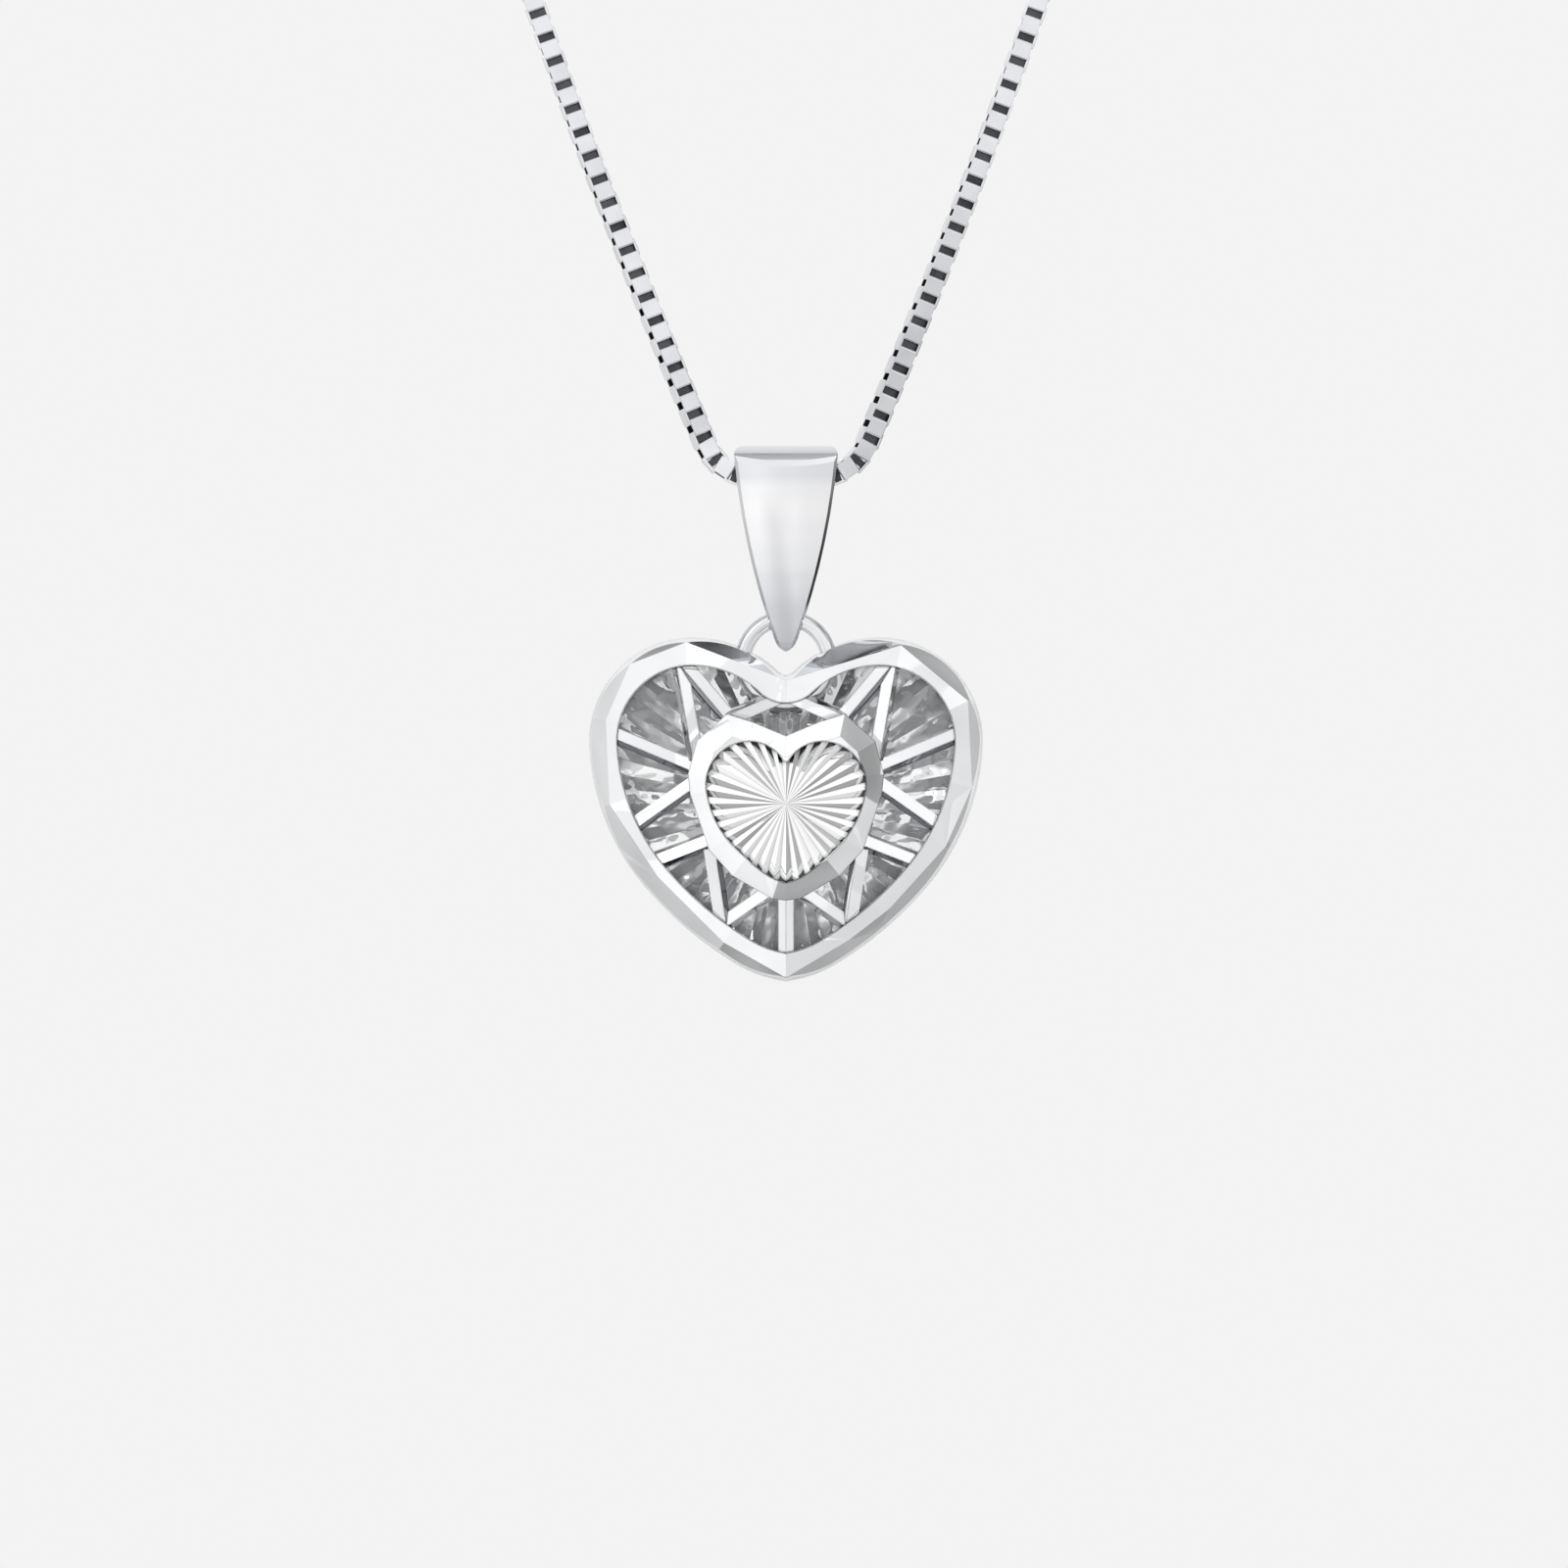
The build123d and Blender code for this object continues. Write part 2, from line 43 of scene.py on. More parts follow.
def hexColor(code):
    # sRGB hex to linear, with alpha
    parts = [int(code[i:i + 2], 16) / 255 for i in (0, 2, 4)]
    return tuple(c / 12.92 if c <= 0.04045 else ((c + 0.055) / 1.055) ** 2.4
                 for c in parts) + (1.0,)


camera = {
    "aim": (-0.065, 0.0, -10.15),     # mm
    "width": 52.0,                    # mm across the frame at the aim
    "distance": 450.0,
    "sensor": 36.0,
    "clip": (0.01, 10.0),             # m
}
camData = bpy.data.cameras.new("camera")
camObject = bpy.data.objects.new("camera", camData)
scene.collection.objects.link(camObject)
camData.sensor_width = camera["sensor"]
camData.lens = camera["sensor"] * camera["distance"] / camera["width"]
camData.clip_start, camData.clip_end = camera["clip"]
camObject.location = Vector(camera["aim"]) * mm + Vector((0, -camera["distance"] * mm, 0))
camObject.rotation_euler = (math.radians(90), 0, 0)
scene.camera = camObject
print("stage: camera")


# one run of box links along a smooth route
chain = {
    # x and z of the right strand, from the middle of the bail; the left one mirrors it
    "strand": [(0.0, 0.0), (0.50, 0.0), (1.35, 0.0), (2.06, 0.30), (2.55, 0.81),
               (2.88, 1.61), (3.62, 3.35), (5.08, 6.95), (6.98, 11.86), (8.51, 16.18)],
    "links": 46,                # on each side of the middle one
    "length": 0.618, "across": 0.71, "strip": 0.58, "wall": 0.09,
    "corner": 0.05, "innerCorner": 0.03,
    "darkWeb": (0.115, 0.10),    # half length and half depth of a dark web across the middle of the hole, painted shade
    "edge": 0.022, "edgeAngle": 25,            # bevel on the strip's edges
    "twistFrom": 4, "twistFull": 9, "twist": 18.0,
}


def frameRing(halfLength, halfAcross, corner):
    # the eight corners of a rectangle with cut corners, round from the upper right
    long, wide = halfLength - corner, halfAcross - corner
    return [(long, halfAcross), (halfLength, wide), (halfLength, -wide), (long, -halfAcross),
            (-long, -halfAcross), (-halfLength, -wide), (-halfLength, wide), (-long, halfAcross)]


def linkMesh(s):
    # a box frame with its hole along Y, the chain along X
    halfLength, halfAcross = s["length"] / 2, s["across"] / 2
    inside = halfAcross - s["wall"]
    outer = frameRing(halfLength, halfAcross, s["corner"])
    inner = frameRing(halfLength - s["wall"], inside, s["innerCorner"])
    depth = s["strip"] / 2
    verts = [(x, y, z) for y in (-depth, depth) for ring in (outer, inner) for x, z in ring]
    faces, dark = [], []
    n = len(outer)
    for i in range(n):
        j = (i + 1) % n
        faces.append((i, j, 2 * n + j, 2 * n + i))                    # outside
        faces.append((n + j, n + i, 3 * n + i, 3 * n + j))            # hole
        faces.append((i, n + i, n + j, j))                            # front edge
        faces.append((2 * n + i, 2 * n + j, 3 * n + j, 3 * n + i))    # back edge
        dark += [False, True, False, False]
    # painted shade: a dark web across the middle of each link's hole
    tx, ty = s["darkWeb"]
    first = len(verts)
    verts += [(x, y, z) for z in (-inside, inside) for y in (-ty, ty) for x in (-tx, tx)]
    for face in ((0, 1, 5, 4), (3, 2, 6, 7), (2, 0, 4, 6), (1, 3, 7, 5)):
        faces.append(tuple(first + v for v in face))
        dark.append(True)
    return verts, faces, dark


def routePoints(points):
    curve = bpy.data.curves.new("chain_route", "CURVE")
    curve.dimensions = "3D"
    curve.resolution_u = 40
    spline = curve.splines.new("NURBS")
    spline.points.add(len(points) - 1)
    for p, at in zip(spline.points, points):
        p.co = (*at, 1)
    spline.order_u = 3
    spline.use_endpoint_u = True
    holder = bpy.data.objects.new("chain_route", curve)
    scene.collection.objects.link(holder)
    bpy.context.view_layer.update()
    mesh = bpy.data.meshes.new_from_object(holder)
    line = [v.co.copy() for v in mesh.vertices]
    bpy.data.objects.remove(holder)
    bpy.data.curves.remove(curve)
    bpy.data.meshes.remove(mesh)
    return line


def alongLine(line, share):
    # point and direction at a share of the line's length
    steps = [(b - a).length for a, b in zip(line, line[1:])]
    left = share * sum(steps)
    for a, b, step in zip(line, line[1:], steps):
        if left <= step or b is line[-1]:
            return a.lerp(b, left / step), (b - a).normalized()
        left -= step


def twistAt(step, s):
    # the strand twists after it leaves the bail, then unwinds to its end
    if step <= s["twistFrom"]:
        return 0.0
    if step <= s["twistFull"]:
        return s["twist"] * (step - s["twistFrom"]) / (s["twistFull"] - s["twistFrom"])
    return s["twist"] * (s["links"] - step) / (s["links"] - s["twistFull"])


def boxChain(s):
    right = [Vector((x, 0, z)) * mm for x, z in s["strand"]]
    left = [Vector((-p.x, 0, p.z)) for p in reversed(right[1:])]
    line = routePoints(left + right)
    verts, faces = [], []
    shape, shapeFaces, dark = linkMesh(s)
    total = 2 * s["links"]
    back = Vector((0, 1, 0))
    for i in range(total + 1):
        place = i - s["links"]
        at, along = alongLine(line, i / total)
        side = 1 if place >= 0 else -1
        quarter = 90 if place % 2 else 0
        roll = math.radians(quarter + side * twistAt(abs(place), s))
        up = along.cross(back).normalized()
        turn = Matrix((along, back, up)).transposed() @ Matrix.Rotation(roll, 3, "X")
        base = len(verts)
        verts += [at + turn @ (Vector(v) * mm) for v in shape]
        faces += [tuple(base + k for k in f) for f in shapeFaces]
    mesh = bpy.data.meshes.new("box_chain")
    mesh.from_pydata(verts, [], faces)
    # painted shade: the holes and the web take the dark inside finish
    for k, face in enumerate(mesh.polygons):
        face.material_index = 1 if dark[k % len(dark)] else 0    # inside each link
    obj = bpy.data.objects.new("box_chain", mesh)
    scene.collection.objects.link(obj)
    bevel = obj.modifiers.new("soft edges", "BEVEL")
    bevel.width = s["edge"] * mm
    bevel.segments = 2
    bevel.limit_method = "ANGLE"
    bevel.angle_limit = math.radians(s["edgeAngle"])
    return obj, line


chainPiece, chainLine = boxChain(chain)
print("stage: chain")


def feed(tree, node, values):
    # each input is set to a value, or fed by another node's output
    for name, value in values.items():
        if isinstance(value, bpy.types.NodeSocket):
            tree.links.new(value, node.inputs[name])
        else:
            node.inputs[name].default_value = value


def add(tree, kind, values=None, **settings):
    node = tree.nodes.new(kind)
    for name, value in settings.items():
        setattr(node, name, value)
    feed(tree, node, values or {})
    return node


def calc(tree, operation, *values):
    return add(tree, "ShaderNodeMath", dict(enumerate(values)),
               operation=operation).outputs["Value"]


def dot(tree, a, b):
    return add(tree, "ShaderNodeVectorMath", {0: a, 1: b},
               operation="DOT_PRODUCT").outputs["Value"]


def spread(tree, value, start, full, low=0.0, high=1.0, kind="LINEAR"):
    # what lies between start and full is carried over to low and high
    return add(tree, "ShaderNodeMapRange",
               {"Value": value, "From Min": start, "From Max": full,
                "To Min": low, "To Max": high}, interpolation_type=kind).outputs["Result"]


def mixed(tree, factor, a, b, data="RGBA", blend="MIX"):
    return add(tree, "ShaderNodeMix", {"Factor": factor, "A": a, "B": b},
               data_type=data, blend_type=blend).outputs["Result"]


def darkened(tree, color, share):
    return add(tree, "ShaderNodeVectorMath", {0: color, 1: share},
               operation="MULTIPLY").outputs["Vector"]


def split(tree, vector):
    return add(tree, "ShaderNodeSeparateXYZ", {"Vector": vector}).outputs


def surface(tree, what):
    return add(tree, "ShaderNodeTexCoord").outputs[what]


def ramp(tree, share, stops, kind="LINEAR"):
    node = add(tree, "ShaderNodeValToRGB", {"Fac": share})
    node.color_ramp.interpolation = kind
    while len(node.color_ramp.elements) < len(stops):
        node.color_ramp.elements.new(0.5)
    for element, (at, color) in zip(node.color_ramp.elements, stops):
        element.position = at
        element.color = color
    return node.outputs["Color"]


def group(name, inputs, outputs):
    # an effect that several finishes share
    tree = bpy.data.node_groups.new(name, "ShaderNodeTree")
    for label, kind, value in inputs:
        sock = tree.interface.new_socket(label, in_out="INPUT", socket_type=kind)
        sock.default_value = value
    for label, kind in outputs:
        tree.interface.new_socket(label, in_out="OUTPUT", socket_type=kind)
    return tree, tree.nodes.new("NodeGroupInput").outputs, tree.nodes.new("NodeGroupOutput")


def polishGroup():
    # haze and fine rubbed scratches on a polished metal, and the hand's slight unevenness
    tree, src, out = group(
        "polish",
        [("Cell Scale", "NodeSocketFloat", 400.0), ("Low", "NodeSocketFloat", 0.04),
         ("High", "NodeSocketFloat", 0.14), ("Scratch Scale", "NodeSocketFloat", 900.0),
         ("Wave Scale", "NodeSocketFloat", 300.0)],
        [("Roughness", "NodeSocketFloat"), ("Height", "NodeSocketFloat"),
         ("Wave", "NodeSocketFloat")])
    place = surface(tree, "Object")
    haze = add(tree, "ShaderNodeTexNoise",
               {"Vector": place, "Scale": src["Cell Scale"], "Detail": 3})
    drawn = add(tree, "ShaderNodeMapping",
                {"Vector": place, "Scale": (1.0, 0.6, 0.16), "Rotation": (0.3, 0.5, 0.4)})
    scratch = add(tree, "ShaderNodeTexNoise",
                  {"Vector": drawn.outputs["Vector"], "Scale": src["Scratch Scale"],
                   "Detail": 4, "Roughness": 0.62})
    wave = add(tree, "ShaderNodeTexNoise",
               {"Vector": place, "Scale": src["Wave Scale"], "Detail": 0})
    feed(tree, out, {
        "Roughness": spread(tree, haze.outputs["Fac"], 0.35, 0.68, src["Low"], src["High"]),
        "Height": scratch.outputs["Fac"], "Wave": wave.outputs["Fac"]})
    return tree


def tarnishGroup():
    # colour drifting between a bright and a duller tone over the surface
    tree, src, out = group(
        "tarnish",
        [("Bright", "NodeSocketColor", (0.9, 0.9, 0.9, 1)),
         ("Dull", "NodeSocketColor", (0.7, 0.7, 0.72, 1)),
         ("Patch Scale", "NodeSocketFloat", 250.0), ("Amount", "NodeSocketFloat", 0.3)],
        [("Color", "NodeSocketColor")])
    patch = add(tree, "ShaderNodeTexNoise",
                {"Vector": surface(tree, "Object"), "Scale": src["Patch Scale"], "Detail": 2})
    share = calc(tree, "MULTIPLY", spread(tree, patch.outputs["Fac"], 0.4, 0.75), src["Amount"])
    feed(tree, out, {"Color": mixed(tree, share, src["Bright"], src["Dull"])})
    return tree


def innerGroup():
    # 1 on walls that weren't cut bright: those that face sideways or back, and a bore's
    tree, src, out = group(
        "inner walls",
        [("From", "NodeSocketFloat", -0.12), ("To", "NodeSocketFloat", -0.02),
         ("Folded", "NodeSocketFloat", 0.0)],
        [("Mask", "NodeSocketFloat")])
    normal = surface(tree, "Normal")
    walls = spread(tree, split(tree, normal)["Y"], src["From"], src["To"])
    # a folded strip: its inside is where the surface faces the strip's own middle
    at = split(tree, surface(tree, "Object"))
    middle = add(tree, "ShaderNodeCombineXYZ",
                 {"Y": at["Y"], "Z": calc(tree, "MAXIMUM", at["Z"], 0.0)}).outputs["Vector"]
    bore = spread(tree, dot(tree, middle, normal), -0.05 * mm, -0.2 * mm)
    feed(tree, out, {"Mask": mixed(tree, src["Folded"], walls, bore, "FLOAT")})
    return tree


def facesInward(tree, src, normal):
    # 1 except on a rim's outer side, whose facets point out past Reach
    at = split(tree, surface(tree, "Object"))
    place = add(tree, "ShaderNodeCombineXYZ",
                {"X": at["X"], "Z": calc(tree, "SUBTRACT", at["Z"], src["Middle"])})
    away = dot(tree, place.outputs["Vector"], normal)
    return calc(tree, "LESS_THAN", away, src["Reach"])


def edgeGroup():
    # 1 on the narrow slopes, where a cut face turns over into a wall
    tree, src, out = group(
        "cut edges",
        [("Middle", "NodeSocketFloat", 0.0), ("Reach", "NodeSocketFloat", 1.0)],
        [("Mask", "NodeSocketFloat")])
    normal = surface(tree, "Normal")
    lean = split(tree, normal)["Y"]
    leaves, arrives = (-0.84, -0.78), (-0.22, -0.30)    # lean of the face, and of the wall
    mask = facesInward(tree, src, normal)
    for start, full in (leaves, arrives):
        mask = calc(tree, "MULTIPLY", mask, spread(tree, lean, start, full))
    feed(tree, out, {"Mask": mask})
    return tree


def lineGroup():
    # 1 in a thin line along sharp edges, where a rounded normal leaves the face's own
    tree, src, out = group(
        "cut lines",
        [("Radius", "NodeSocketFloat", 0.00006), ("Middle", "NodeSocketFloat", 0.0),
         ("Reach", "NodeSocketFloat", 1.0)],
        [("Mask", "NodeSocketFloat")])
    rounded = add(tree, "ShaderNodeBevel", {"Radius": src["Radius"]}).outputs["Normal"]
    own = add(tree, "ShaderNodeNewGeometry").outputs["Normal"]
    start, full = 0.965, 0.925    # cosine of the angle between the two
    turned = spread(tree, dot(tree, rounded, own), start, full)
    local = add(tree, "ShaderNodeVectorTransform", {"Vector": rounded}, vector_type="NORMAL",
                convert_from="WORLD", convert_to="OBJECT").outputs["Vector"]
    feed(tree, out, {"Mask": calc(tree, "MULTIPLY", facesInward(tree, src, local), turned)})
    return tree


def recessShadeGroup():
    # painted shade: a share that falls off in the deep corners
    tree, src, out = group(
        "recessShade",
        [("Reach", "NodeSocketFloat", 0.001), ("From", "NodeSocketFloat", 0.2),
         ("To", "NodeSocketFloat", 0.8), ("Tone", "NodeSocketFloat", 0.5)],
        [("Share", "NodeSocketFloat")])
    clear = add(tree, "ShaderNodeAmbientOcclusion", {"Distance": src["Reach"]}).outputs["AO"]
    feed(tree, out, {"Share": spread(tree, clear, src["From"], src["To"], src["Tone"])})
    return tree


polish = polishGroup()
tarnish = tarnishGroup()
innerWalls = innerGroup()
cutEdges = edgeGroup()
cutLines = lineGroup()
recessShade = recessShadeGroup()


def shared(tree, effect, values):
    # the effect, placed in a material with its own values
    return add(tree, "ShaderNodeGroup", values, node_tree=effect).outputs


def recessShaded(tree, color, s):
    # painted shade in the deep corners
    deep = shared(tree, recessShade, {"Reach": s["reach"] * mm, "From": s["from"], "To": s["to"],
                                 "Tone": s["tone"]})
    return darkened(tree, color, deep["Share"])


def slopeShaded(tree, color, s):
    # painted shade on the narrow slopes along the cut
    shadedSlope = shared(tree, cutEdges, {"Middle": s["middle"] * mm, "Reach": s["reach"] * mm})
    return mixed(tree, shadedSlope["Mask"], color, hexColor(s["tone"]))


def shadowLined(tree, color, s):
    # painted shadow: a dark line where two cuts meet
    drawn = shared(tree, cutLines, {"Radius": s["radius"] * mm, "Middle": s["middle"] * mm,
                                    "Reach": s["reach"] * mm})
    return mixed(tree, drawn["Mask"], color, hexColor(s["tone"]))


def shadedAlongHeight(tree, color, s):
    # painted light and shade along the height, from the lowest stop to the highest
    low, high = s[0][0], s[-1][0]
    up = split(tree, surface(tree, "Object"))["Z"]
    stops = [((at - low) / (high - low), hexColor(code)) for at, code in s]
    tone = ramp(tree, spread(tree, up, low * mm, high * mm), stops, "EASE")
    return mixed(tree, 1.0, color, tone, blend="MULTIPLY")


def shadeStriped(tree, color, s):
    # painted shade: a soft darker stripe down one side
    place = surface(tree, "Object")
    beside = calc(tree, "SUBTRACT", dot(tree, place, (1.0, 0.0, s["slant"])), s["foot"] * mm)
    start, full = s["fade"]
    across = spread(tree, calc(tree, "ABSOLUTE", beside), s["reach"] * mm, 0.0,
                    kind="SMOOTHSTEP")
    down = spread(tree, split(tree, place)["Z"], start * mm, full * mm, kind="SMOOTHSTEP")
    share = calc(tree, "MULTIPLY", across, down)
    return darkened(tree, color, spread(tree, share, 0.0, 1.0, 1.0, s["tone"]))


layers = {"recessShade": recessShaded, "edge": slopeShaded, "line": shadowLined, "shadeAlong": shadedAlongHeight,
          "shadeStripe": shadeStriped}


def metal(name, s):
    mat = bpy.data.materials.new(name)
    mat.use_nodes = True
    tree = mat.node_tree
    rub = shared(tree, polish,
                 {"Cell Scale": s["hazeScale"], "Low": s["low"], "High": s["high"],
                  "Scratch Scale": s["scratchScale"], "Wave Scale": s.get("waveScale", 300.0)})
    uneven = add(tree, "ShaderNodeBump",
                 {"Distance": s.get("wave", 0.0) * mm, "Height": rub["Wave"]})
    bump = add(tree, "ShaderNodeBump",
               {"Strength": s["bump"], "Distance": s["bumpDepth"] * mm,
                "Height": rub["Height"], "Normal": uneven.outputs["Normal"]})
    color = shared(tree, tarnish,
                   {"Bright": hexColor(s["bright"]), "Dull": hexColor(s["dull"]),
                    "Patch Scale": s["patchScale"], "Amount": s["amount"]})["Color"]
    for layer, drawLayer in layers.items():
        if layer in s:
            color = drawLayer(tree, color, s[layer])
    metallic, rough = s.get("metallic", 1.0), rub["Roughness"]
    if "inside" in s:    # walls left matt and white from casting
        inside = s["inside"]
        walls = shared(tree, innerWalls, {"Folded": inside["folded"]})["Mask"]
        metallic = spread(tree, walls, 0.0, 1.0, 1.0, inside["metallic"])
        rough = mixed(tree, walls, rough, inside["rough"], "FLOAT")
    feed(tree, tree.nodes["Principled BSDF"],
         {"Base Color": color, "Metallic": metallic, "Roughness": rough,
          "Normal": bump.outputs["Normal"]})
    return mat


# lengths and places are in mm, scales are per metre
heartMiddle = -10.8
faceted = {"bright": "F6F7F8", "dull": "DFE0E3", "patchScale": 420, "amount": 0.45,
           "hazeScale": 900, "low": 0.02, "high": 0.06, "scratchScale": 2600,
           "bump": 0.03, "bumpDepth": 0.01, "waveScale": 420, "wave": 0.16,
           "inside": {"metallic": 0.30, "rough": 0.42, "folded": 0.0}}
finishes = {
    "cutSilver": {**faceted,
                  "edge": {"tone": "9A9CA1", "middle": heartMiddle, "reach": 1.2},
                  "line": {"tone": "242527", "radius": 0.09,
                           "middle": heartMiddle, "reach": 1.2}},
    "bezelSilver": {**faceted,
                    "edge": {"tone": "4A4B4E", "middle": heartMiddle, "reach": 9.0},
                    "line": {"tone": "242527", "radius": 0.09,
                             "middle": heartMiddle, "reach": 9.0}},
    "raySilver": {"bright": "FCFCFC", "dull": "F2F3F4", "patchScale": 500, "amount": 0.3,
                  "hazeScale": 1100, "low": 0.01, "high": 0.04, "scratchScale": 2800,
                  "bump": 0.01, "bumpDepth": 0.01,
                  "recessShade": {"tone": 0.10, "reach": 0.22, "from": 0.54, "to": 0.84}},
    "flutedSilver": {"bright": "FFFFFF", "dull": "F0F1F3", "patchScale": 520, "amount": 0.4,
                     "hazeScale": 1100, "low": 0.02, "high": 0.06, "scratchScale": 2400,
                     "bump": 0.02, "bumpDepth": 0.01, "metallic": 0.67,
                     "waveScale": 2300, "wave": 0.045,
                     "recessShade": {"tone": 0.25, "reach": 0.90, "from": 0.18, "to": 0.48}},
    "ringSilver": {"bright": "E6E7E9", "dull": "CDCFD3", "patchScale": 300, "amount": 0.4,
                   "hazeScale": 700, "low": 0.03, "high": 0.08, "scratchScale": 1800,
                   "bump": 0.03, "bumpDepth": 0.01},
    "polishedSilver": {"bright": "FAFAFB", "dull": "EFF0F1", "patchScale": 260, "amount": 0.3,
                       "hazeScale": 700, "low": 0.03, "high": 0.08, "scratchScale": 1800,
                       "bump": 0.03, "bumpDepth": 0.01},
    "bailSilver": {"bright": "FCFCFD", "dull": "F2F3F4", "patchScale": 260, "amount": 0.3,
                   "hazeScale": 700, "low": 0.13, "high": 0.20, "scratchScale": 1800,
                   "bump": 0.03, "bumpDepth": 0.01,
                   # painted shade at both ends and a painted highlight near -1 mm
                   "shadeAlong": [(-5.8, "CFD1D4"), (-4.6, "D7D9DC"), (-3.4, "E9EAEC"),
                                  (-2.8, "F3F4F5"), (-1.8, "FAFAFB"), (-1.0, "FFFFFF"),
                                  (-0.4, "FCFCFD"), (0.1, "EDEEF0"), (1.1, "EEEFF2")],
                   "shadeStripe": {"foot": -0.64, "slant": 0.13, "reach": 0.50, "tone": 0.90,
                              "fade": (-0.2, -1.4)},
                   "inside": {"metallic": 0.35, "rough": 0.40, "folded": 1.0}},
    "chainSilver": {"bright": "E4E5E8", "dull": "BFC1C5", "patchScale": 600, "amount": 0.5,
                    "hazeScale": 1500, "low": 0.06, "high": 0.16, "scratchScale": 3600,
                    "bump": 0.08, "bumpDepth": 0.01},
    # painted shade: the dark finish inside the links
    "chainShadeInside": {"bright": "58585A", "dull": "2E2E30", "patchScale": 900, "amount": 0.7,
                    "hazeScale": 1500, "low": 0.25, "high": 0.45, "scratchScale": 3000,
                    "bump": 0.2, "bumpDepth": 0.02},
    "springSteel": {"bright": "B9BABC", "dull": "8E8F92", "patchScale": 900, "amount": 0.6,
                    "hazeScale": 1200, "low": 0.20, "high": 0.36, "scratchScale": 2600,
                    "bump": 0.2, "bumpDepth": 0.02},
}
mats = {name: metal(name, s) for name, s in finishes.items()}

finishOf = {
    "front_cage": "cutSilver", "inner_bezel": "bezelSilver", "sunburst_plate": "raySilver",
    "fluted_reflector": "flutedSilver", "back_shell": "polishedSilver",
    "hanging_ring": "ringSilver", "bail": "bailSilver",
    "chain_run_in_bail": "chainSilver", "chain_right_edge_links": "chainSilver",
    "chain_right_face_links": "chainSilver", "chain_left_edge_links": "chainSilver",
    "chain_left_face_links": "chainSilver", "end_ring_left": "chainSilver",
    "end_ring_right": "chainSilver", "clasp_tube_ring": "polishedSilver",
    "clasp_bolt": "polishedSilver", "clasp_thumb_knob": "polishedSilver",
    "clasp_spring": "springSteel", "clasp_eye": "polishedSilver",
}
for name, finish in finishOf.items():
    node = nodes[name]
    node.data.materials.clear()
    node.data.materials.append(mats[finish])

# rubbed edges, on the pieces whose edges catch the light
rubbed = {
    "width": {"front_cage": 0.030, "inner_bezel": 0.030, "back_shell": 0.05},    # mm
    "weldWithin": 0.0005,                # mm
    "edgeAngle": 14, "foldAngle": 24,    # degrees
}


def softEdge(node, width, s):
    weld = node.modifiers.new("weld", "WELD")
    weld.merge_threshold = s["weldWithin"] * mm
    bevel = node.modifiers.new("rubbed edge", "BEVEL")
    bevel.width = width * mm
    bevel.segments = 2
    bevel.limit_method = "ANGLE"
    bevel.angle_limit = math.radians(s["edgeAngle"])
    bevel.harden_normals = False


def roundShade(node, degrees):
    # smooth across shallow folds of the mesh only
    tree = bpy.data.node_groups.new("round shade", "GeometryNodeTree")
    tree.interface.new_socket("Geometry", in_out="INPUT", socket_type="NodeSocketGeometry")
    tree.interface.new_socket("Geometry", in_out="OUTPUT", socket_type="NodeSocketGeometry")
    src = tree.nodes.new("NodeGroupInput").outputs
    out = tree.nodes.new("NodeGroupOutput")
    angle = add(tree, "GeometryNodeInputMeshEdgeAngle").outputs["Unsigned Angle"]
    sharp = add(tree, "FunctionNodeCompare", {"A": angle, "B": math.radians(degrees)},
                operation="GREATER_THAN").outputs["Result"]
    smooth = add(tree, "GeometryNodeSetShadeSmooth", {"Geometry": src["Geometry"]},
                 domain="FACE").outputs["Geometry"]
    folds = add(tree, "GeometryNodeSetShadeSmooth",
                {"Geometry": smooth, "Selection": sharp, "Shade Smooth": False}, domain="EDGE")
    feed(tree, out, {"Geometry": folds.outputs["Geometry"]})
    node.modifiers.new("round shade", "NODES").node_group = tree


for name, width in rubbed["width"].items():
    softEdge(nodes[name], width, rubbed)
roundShade(nodes["back_shell"], rubbed["foldAngle"])
chainPiece.data.materials.append(mats["chainSilver"])
chainPiece.data.materials.append(mats["chainShadeInside"])
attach(chainPiece, "necklace")
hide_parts("chain_run_in_bail", "chain_right_edge_links", "chain_right_face_links",
            "chain_left_edge_links", "chain_left_face_links")
print("stage: finishes")


# a round floor far below, and the light all round
studio = {
    "floor": -52.0,             # mm
    "radius": 250.0, "fadeFrom": 120.0,
    "tone": "F3F3F3",
    # tone of the light, from behind the object to straight in front of it
    "stops": [(0.0, 0.80), (0.34, 0.66), (0.44, 0.54), (0.56, 0.52), (0.60, 0.48),
              (0.625, 0.36), (0.65, 0.66), (0.70, 0.92), (0.80, 1.0), (1.0, 1.0)],
    "strength": 1.07,
    "lean": (-0.50, 0.0, 0.62),             # the light is stronger from this side
    "leanLow": 0.68, "leanHigh": 1.18,
    "weakSide": (-0.75, -0.05), "strongSide": (0.0, 0.8),    # where each level is reached
    "panelScale": 3.4, "panelShift": (0.3, 0.1, 0.6), "panelFrom": 0.60, "panelTo": 0.62,
    "panelTone": 0.42, "faintTone": 0.86,
    "cleanFrom": 0.70, "cleanTo": 0.84,     # no panels straight in front
    "calmFrom": 0.40, "calmTo": 0.25,       # nor behind
    # a soft spot and a narrow card: where, how far they reach in the dot product, tone
    "spots": [((0.0, -0.986, -0.165), 0.985, 0.998, 0.97),
              ((0.95, -0.02, -0.31), 0.960, 0.975, 0.10)],
    "spill": 0.95,              # level that falls on what isn't metal
}


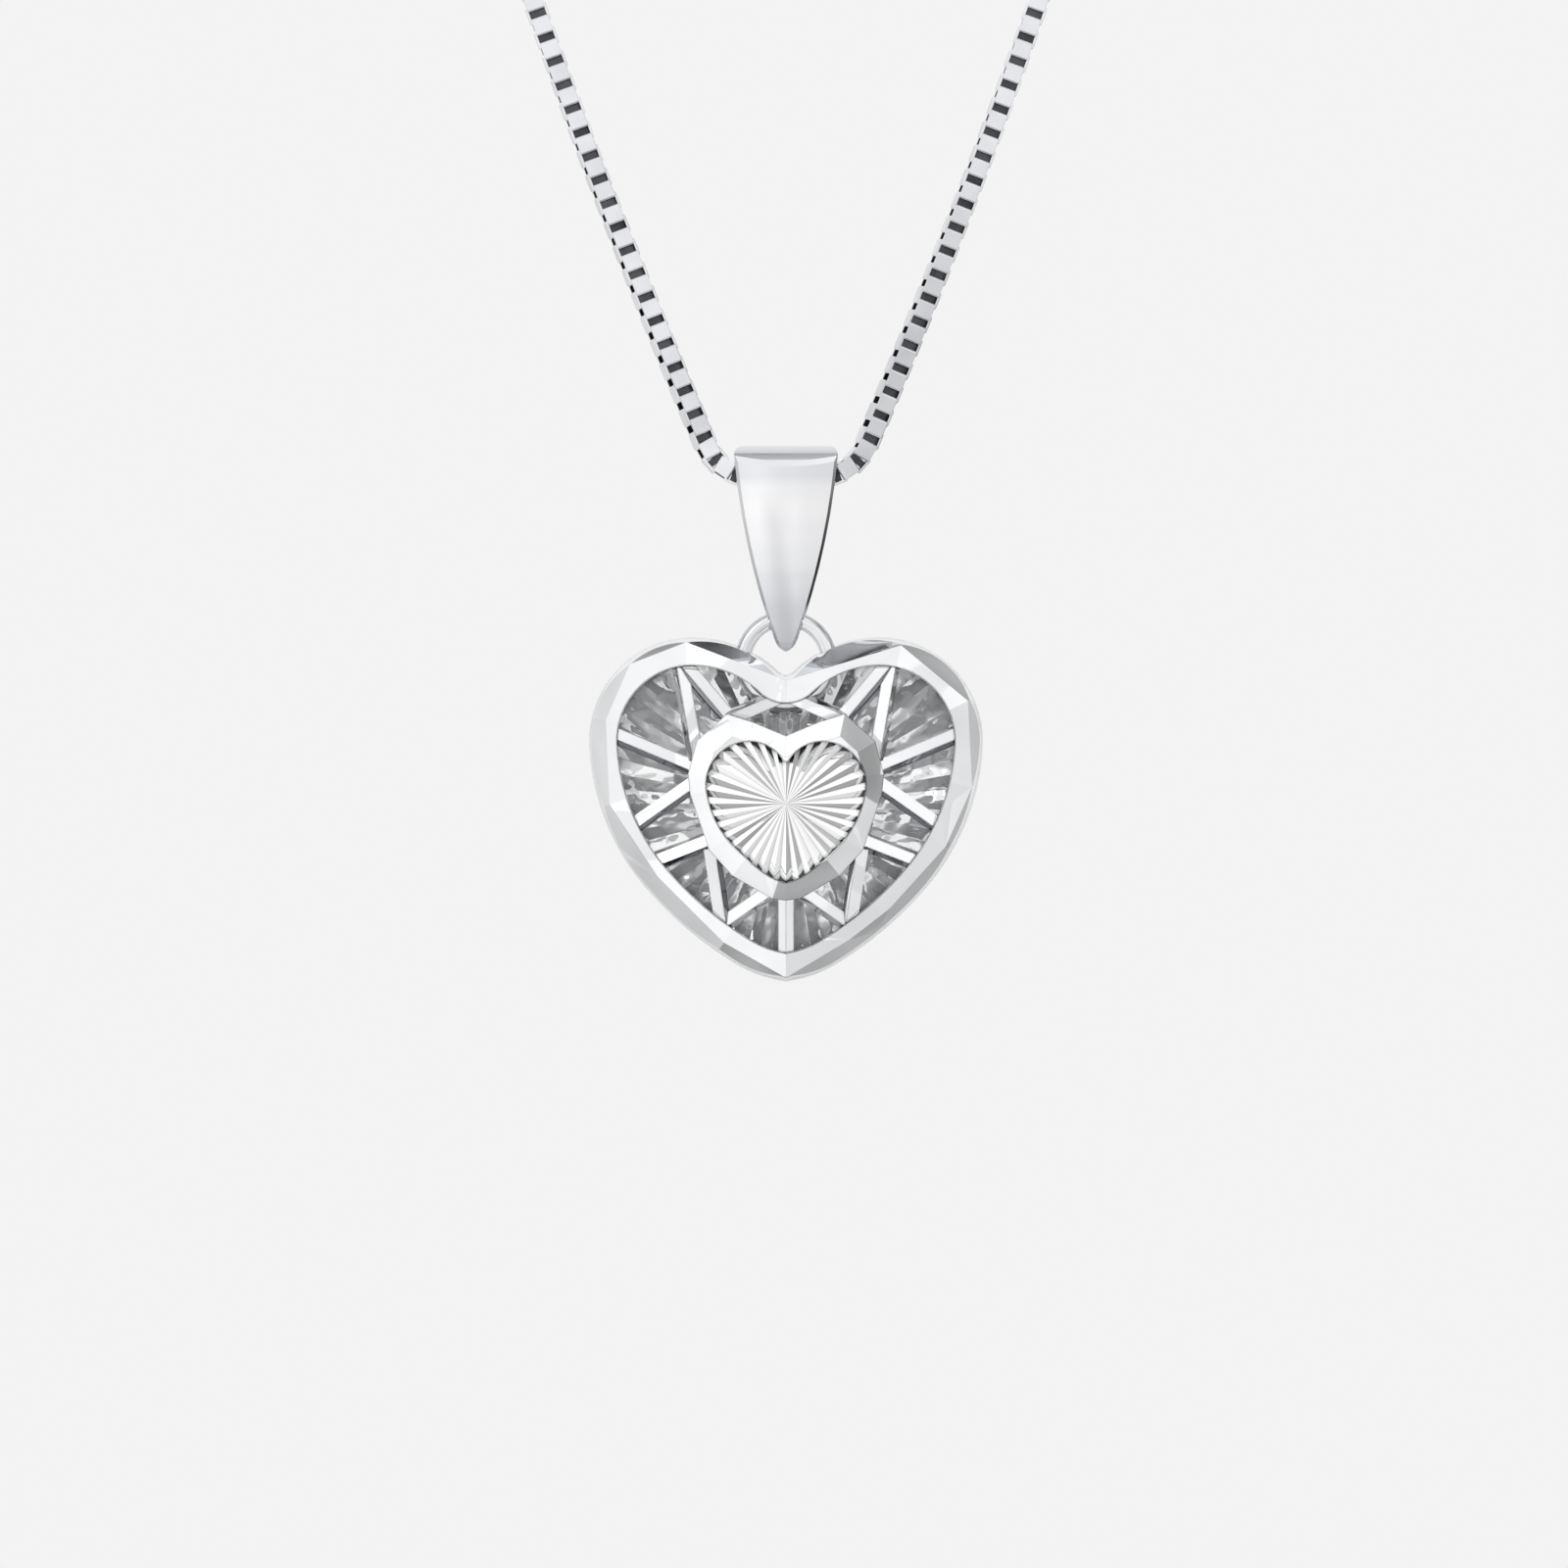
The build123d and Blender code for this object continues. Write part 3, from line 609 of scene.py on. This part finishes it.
def roundFloor(s):
    rings, spokes = 10, 96
    verts = [(0, 0, s["floor"] * mm)]
    for i in range(1, rings + 1):
        r = s["radius"] * i / rings * mm
        verts += [(r * math.cos(2 * math.pi * k / spokes), r * math.sin(2 * math.pi * k / spokes),
                   s["floor"] * mm) for k in range(spokes)]
    faces = [(0, 1 + k, 1 + (k + 1) % spokes) for k in range(spokes)]
    for i in range(rings - 1):
        base = 1 + i * spokes
        for k in range(spokes):
            n = (k + 1) % spokes
            faces.append((base + k, base + spokes + k, base + spokes + n, base + n))
    mesh = bpy.data.meshes.new("floor")
    mesh.from_pydata(verts, [], faces)
    obj = bpy.data.objects.new("floor", mesh)
    scene.collection.objects.link(obj)
    return obj


def paperMaterial(s):
    # matt paper that fades out at its rim and isn't seen by metal
    mat = bpy.data.materials.new("paper")
    mat.use_nodes = True
    tree = mat.node_tree
    shader = tree.nodes["Principled BSDF"]
    feed(tree, shader, {"Base Color": hexColor(s["tone"]), "Roughness": 0.9})
    far = add(tree, "ShaderNodeVectorMath", {0: surface(tree, "Object")}, operation="LENGTH")
    fade = spread(tree, far.outputs["Value"], s["fadeFrom"] * mm, s["radius"] * mm,
                  kind="SMOOTHSTEP")
    path = add(tree, "ShaderNodeLightPath").outputs
    clear = add(tree, "ShaderNodeBsdfTransparent")
    mix = add(tree, "ShaderNodeMixShader",
              {"Fac": calc(tree, "MAXIMUM", fade, path["Is Glossy Ray"]),
               1: shader.outputs["BSDF"], 2: clear.outputs["BSDF"]})
    feed(tree, tree.nodes["Material Output"], {"Surface": mix.outputs["Shader"]})
    return mat


floor = roundFloor(studio)
floor.data.materials.append(paperMaterial(studio))

world = bpy.data.worlds.new("studio")
scene.world = world
world.use_nodes = True


def softTent(tree, s):
    # what metal sees: pale all round, brighter from one side, with a few dark panels
    toward = surface(tree, "Generated")
    facing = spread(tree, split(tree, toward)["Y"], 1.0, -1.0)
    tone = ramp(tree, facing, [(at, (grey, grey, grey, 1)) for at, grey in s["stops"]])
    lean = dot(tree, toward, s["lean"])
    side = calc(tree, "MULTIPLY", spread(tree, lean, *s["weakSide"], s["leanLow"], 1.0),
                spread(tree, lean, *s["strongSide"], 1.0, s["leanHigh"]))
    shift = add(tree, "ShaderNodeMapping", {"Vector": toward, "Location": s["panelShift"]})
    cells = add(tree, "ShaderNodeTexVoronoi",
                {"Vector": shift.outputs["Vector"], "Scale": s["panelScale"]})
    pick = add(tree, "ShaderNodeSeparateColor", {"Color": cells.outputs["Color"]}).outputs["Red"]
    dark = spread(tree, pick, s["panelFrom"], s["panelTo"], 1.0, s["panelTone"])
    faint = spread(tree, pick, s["panelFrom"], s["panelTo"], 1.0, s["faintTone"])
    # no panels straight ahead or behind, so that flat faces stay clean
    plain = calc(tree, "MAXIMUM", spread(tree, facing, s["cleanFrom"], s["cleanTo"]),
                 spread(tree, facing, s["calmFrom"], s["calmTo"]))
    shade = calc(tree, "MULTIPLY", mixed(tree, plain, dark, faint, "FLOAT"), side)
    for at, start, full, spotTone in s["spots"]:
        spot = spread(tree, dot(tree, toward, at), start, full, 1.0, spotTone)
        shade = calc(tree, "MULTIPLY", shade, spot)
    level = calc(tree, "MULTIPLY", shade, s["strength"])
    tent = mixed(tree, 1.0, tone, level, blend="MULTIPLY")
    # the tent for metal, an even level for the rest, and the plain tone for the eye
    path = add(tree, "ShaderNodeLightPath").outputs
    shiny = calc(tree, "MAXIMUM", path["Is Glossy Ray"], path["Is Transmission Ray"])
    lit = mixed(tree, shiny, (s["spill"], s["spill"], s["spill"], 1), tent)
    seen = mixed(tree, path["Is Camera Ray"], lit, hexColor(s["tone"]))
    feed(tree, tree.nodes["Background"], {"Color": seen, "Strength": 1.0})


softTent(world.node_tree, studio)

lamps = {
    "keyLeft": {"at": (-260, -330, 240), "size": 150, "tone": 0.5},
    "fillRight": {"at": (300, -300, 80), "size": 120, "tone": 0.4},
}
for name, s in lamps.items():
    light = bpy.data.lights.new(name, "AREA")
    light.size = s["size"] * mm
    # so that its face shows this tone
    light.energy = s["tone"] * math.pi * (s["size"] * mm) ** 2
    lamp = bpy.data.objects.new(name, light)
    scene.collection.objects.link(lamp)
    lamp.location = Vector(s["at"]) * mm
    lamp.rotation_euler = (-lamp.location).to_track_quat("-Z", "Y").to_euler()
print("stage: studio")

scene.view_settings.view_transform = "Standard"
